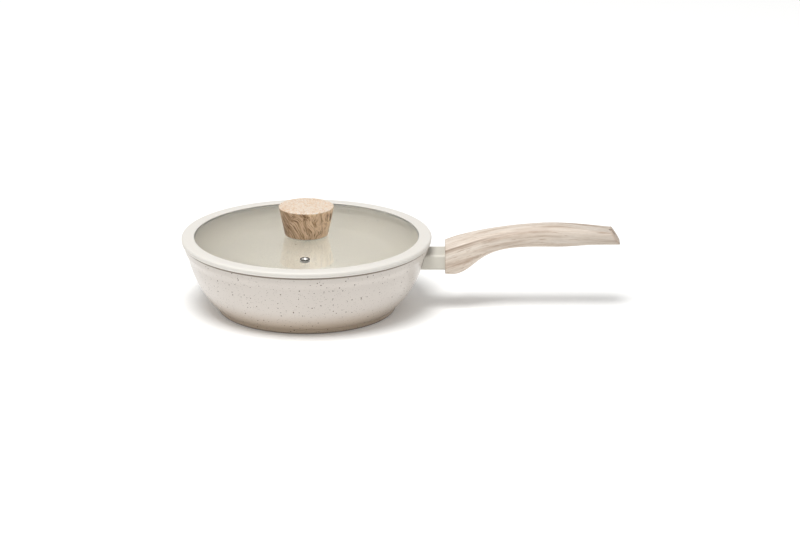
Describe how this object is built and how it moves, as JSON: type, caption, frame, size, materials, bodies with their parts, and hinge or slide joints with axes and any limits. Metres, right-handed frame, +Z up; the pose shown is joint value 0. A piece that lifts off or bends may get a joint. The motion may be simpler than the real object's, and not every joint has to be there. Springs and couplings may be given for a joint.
{
  "type": "lidded pan",
  "caption": "Deep cooking pan with one long curved handle and a lift-off glass lid with a knob, soft ring and steam vent.",
  "frame": {"origin": "centre of the pan's underside, on the surface that it stands on", "axes": "+Z up, +X along the handle, away from the pan"},
  "size_m": [0.4378, 0.2496, 0.1052],
  "materials": {
    "pan_coating": "cast aluminium under a satin speckled ceramic coating",
    "base_steel": "stainless, turned",
    "bare_aluminium": "as cast",
    "neck_coating": "satin coated aluminium",
    "grip_wood_print": "soft-touch phenolic with a pale wood print",
    "fastener_steel": "zinc plated",
    "lid_glass": "clear tempered",
    "silicone": "matt moulded silicone",
    "knob_wood_print": "soft-touch phenolic with a warm wood print",
    "insert_brass": "turned",
    "seal_silicone": "translucent moulded silicone",
    "vent_steel": "polished stainless"
  },
  "bodies": {
    "pan": {"pan_body": "pan_coating", "induction_base": "base_steel", "handle_boss": "bare_aluminium", "flame_guard": "neck_coating", "handle_grip": "grip_wood_print", "grip_sleeve": "fastener_steel", "handle_bolt": "fastener_steel", "handle_washer": "fastener_steel", "handle_spring_washer": "fastener_steel"},
    "lid": {"lid_glass": "lid_glass", "lid_ring": "silicone", "knob_body": "knob_wood_print", "knob_insert": "insert_brass", "knob_seal_upper": "seal_silicone", "knob_seal_lower": "seal_silicone", "knob_washer": "fastener_steel", "knob_spring_washer": "fastener_steel", "knob_screw": "fastener_steel", "vent_eyelet": "vent_steel", "vent_seal": "seal_silicone", "vent_plate": "vent_steel"}
  },
  "joints": [
    {"name": "lid_lift", "type": "slide", "parent": "pan", "child": "lid", "axis": [0, 0, 1], "range_m": [0, 0.15]}
  ]
}
